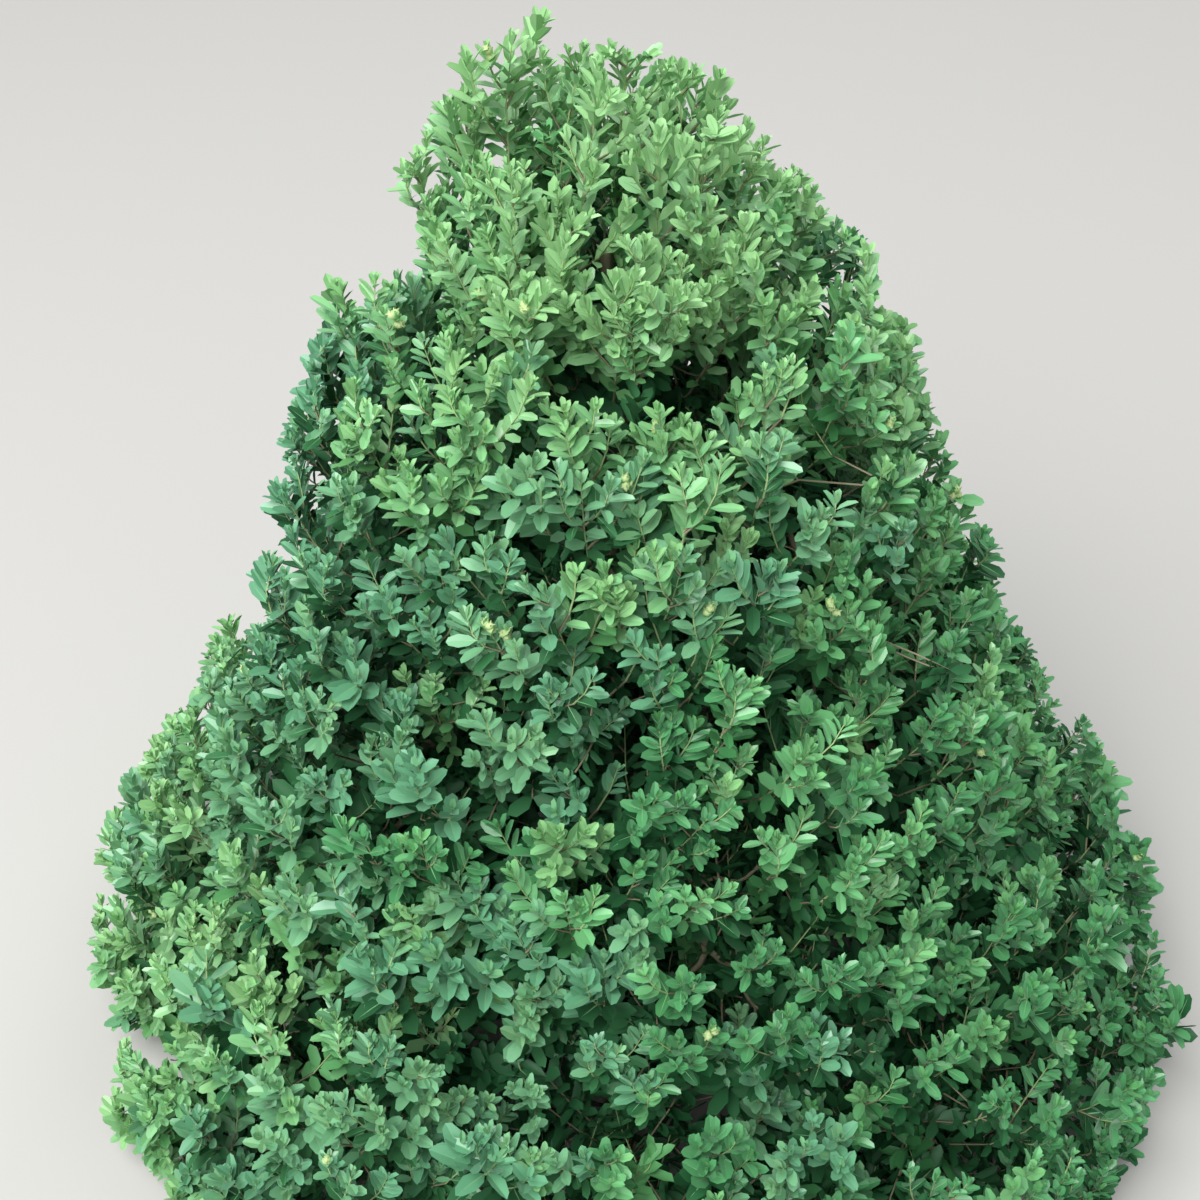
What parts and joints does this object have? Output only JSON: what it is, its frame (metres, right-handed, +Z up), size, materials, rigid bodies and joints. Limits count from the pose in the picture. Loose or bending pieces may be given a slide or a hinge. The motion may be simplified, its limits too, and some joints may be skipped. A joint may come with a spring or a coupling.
{
  "type": "boxwood cone topiary",
  "caption": "Broad, loosely clipped boxwood cone rooted in the ground: a short stem with a root flare, tapering boughs and a close shell of small-leaved foliage masses with a blunt top.",
  "frame": {"origin": "middle of the flat cut under the stem, at ground level", "axes": "+Z up along the stem, -Y towards the camera, +X to the right in the picture"},
  "size_m": [1.0549, 1.0681, 1.0015],
  "materials": {
    "bark": "rough grey-brown bark, finely cracked along the limbs",
    "foliage": "small oval evergreen leaves with a soft sheen, light yellow-green at the shoot tips and dark bluish green below them"
  },
  "bodies": {
    "root": {"bough_middle_1": "bark", "bough_middle_2": "bark", "bough_middle_3": "bark", "bough_middle_4": "bark", "bough_middle_5": "bark", "bough_middle_6": "bark", "bough_skirt_1": "bark", "bough_skirt_2": "bark", "bough_skirt_3": "bark", "bough_skirt_4": "bark", "bough_skirt_5": "bark", "bough_skirt_6": "bark", "bough_skirt_7": "bark", "bough_top": "bark", "bough_upper_1": "bark", "bough_upper_2": "bark", "bough_upper_3": "bark", "bough_upper_4": "bark", "bough_upper_5": "bark", "bough_upper_6": "bark", "foliage_middle_1": "foliage", "foliage_middle_2": "foliage", "foliage_middle_3": "foliage", "foliage_middle_4": "foliage", "foliage_middle_5": "foliage", "foliage_middle_6": "foliage", "foliage_skirt_1": "foliage", "foliage_skirt_2": "foliage", "foliage_skirt_3": "foliage", "foliage_skirt_4": "foliage", "foliage_skirt_5": "foliage", "foliage_skirt_6": "foliage", "foliage_skirt_7": "foliage", "foliage_top": "foliage", "foliage_upper_1": "foliage", "foliage_upper_2": "foliage", "foliage_upper_3": "foliage", "foliage_upper_4": "foliage", "foliage_upper_5": "foliage", "foliage_upper_6": "foliage", "stem": "bark"}
  },
  "joints": []
}
